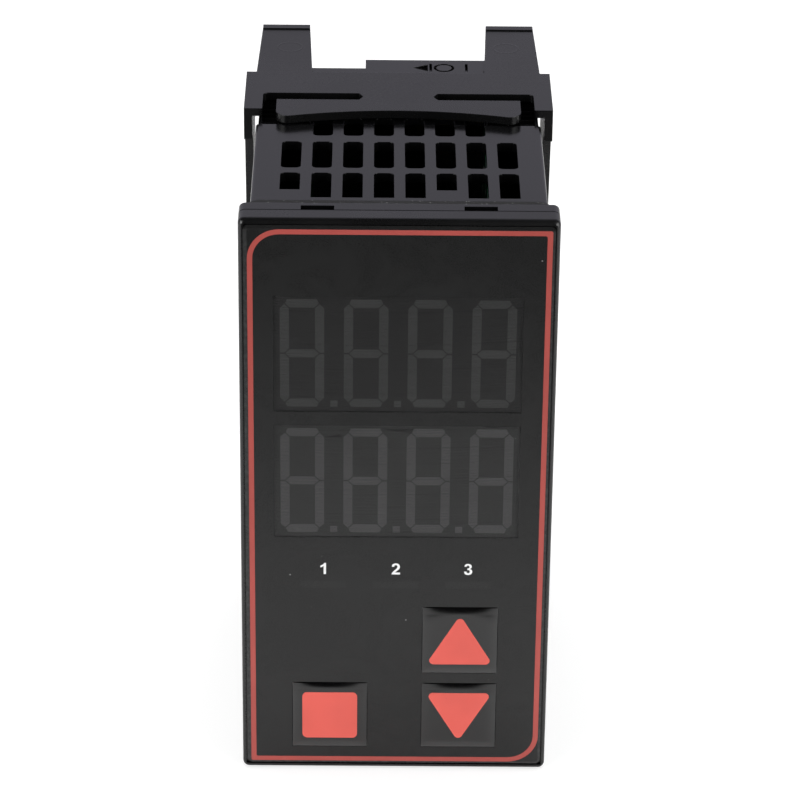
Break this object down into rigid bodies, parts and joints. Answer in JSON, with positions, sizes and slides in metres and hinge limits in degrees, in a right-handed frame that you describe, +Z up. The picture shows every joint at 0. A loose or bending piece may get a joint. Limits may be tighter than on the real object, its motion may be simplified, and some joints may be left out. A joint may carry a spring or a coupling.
{
  "type": "pid temperature controller",
  "caption": "Panel-mounted digital temperature controller with a tall front, dark displays, red-marked keys, a withdrawable chassis, a vented case and a sliding mounting clamp.",
  "frame": {"origin": "centre of the gasket's rear face, which seats on the front of the panel", "axes": "-Y out of the front towards the reader, +Y through the panel to the terminals, +Z up, +X to the reader's right"},
  "size_m": [0.049, 0.0795, 0.096],
  "materials": {
    "case_plastic": "black moulded plastic, fine satin grain",
    "gasket_rubber": "dark grey rubber, matt",
    "terminal_plastic": "black moulded plastic",
    "contact_metal": "tinned brass, pressed",
    "plated_steel": "zinc plated",
    "bezel_plastic": "black moulded plastic, satin",
    "front_film": "black printed film, fine satin texture, smoked over the displays",
    "red_print": "red print, satin",
    "display_face": "dark grey display face",
    "display_segments": "unlit light guides, milky grey",
    "lamp_lens": "unlit lens, milky grey",
    "lamp_body": "lamp package, pale",
    "circuit_board": "green solder resist",
    "switch_plastic": "black switch housing",
    "header_plastic": "black header",
    "relay_plastic": "blue relay cover",
    "ferrite": "dark grey ferrite",
    "winding_tape": "yellow tape over the winding",
    "capacitor_sleeve": "dark blue shrink sleeve",
    "chip_plastic": "moulded chip package",
    "clamp_plastic": "black moulded plastic, satin",
    "key_plastic": "black key pad, satin",
    "plunger_plastic": "dark brown plunger"
  },
  "bodies": {
    "case": {"case_sleeve": "case_plastic", "panel_gasket": "gasket_rubber", "terminal_block_left": "terminal_plastic", "terminal_block_right": "terminal_plastic", "terminal_contacts": "contact_metal", "terminal_clamps": "plated_steel", "terminal_screws": "plated_steel"},
    "chassis": {"bezel_frame": "bezel_plastic", "front_film": "front_film", "border_line": "red_print", "display_upper_housing": "display_face", "display_upper_segments": "display_segments", "display_lower_housing": "display_face", "display_lower_segments": "display_segments", "indicator_lenses": "lamp_lens", "indicator_lamps": "lamp_body", "front_board": "circuit_board", "front_board_screws": "plated_steel", "switch_housing_up": "switch_plastic", "switch_housing_down": "switch_plastic", "switch_housing_set": "switch_plastic", "processor_board": "circuit_board", "power_board": "circuit_board", "board_header_left": "header_plastic", "board_header_right": "header_plastic", "output_relay_1": "relay_plastic", "output_relay_2": "relay_plastic", "output_relay_3": "relay_plastic", "transformer_core": "ferrite", "transformer_winding": "winding_tape", "bulk_capacitor": "capacitor_sleeve", "filter_capacitor": "capacitor_sleeve", "processor_chip": "chip_plastic", "converter_chip": "chip_plastic"},
    "clamp": {"mounting_clamp": "clamp_plastic"},
    "key_up": {"key_pad_up": "key_plastic", "key_symbol_up": "red_print", "switch_plunger_up": "plunger_plastic"},
    "key_down": {"key_pad_down": "key_plastic", "key_symbol_down": "red_print", "switch_plunger_down": "plunger_plastic"},
    "key_set": {"key_pad_set": "key_plastic", "key_symbol_set": "red_print", "switch_plunger_set": "plunger_plastic"}
  },
  "joints": [
    {"name": "chassis_slide", "type": "slide", "parent": "case", "child": "chassis", "axis": [0, -1, 0], "range_m": [0, 0.075]},
    {"name": "clamp_slide", "type": "slide", "parent": "case", "child": "clamp", "axis": [0, -1, 0], "range_m": [-0.03, 0.0325]},
    {"name": "key_up_press", "type": "slide", "parent": "chassis", "child": "key_up", "axis": [0, 1, 0], "range_m": [0, 0.0003], "stiffness_N_per_m": 4000, "springref_m": -0.0001},
    {"name": "key_down_press", "type": "slide", "parent": "chassis", "child": "key_down", "axis": [0, 1, 0], "range_m": [0, 0.0003], "stiffness_N_per_m": 4000, "springref_m": -0.0001},
    {"name": "key_set_press", "type": "slide", "parent": "chassis", "child": "key_set", "axis": [0, 1, 0], "range_m": [0, 0.0003], "stiffness_N_per_m": 4000, "springref_m": -0.0001}
  ]
}
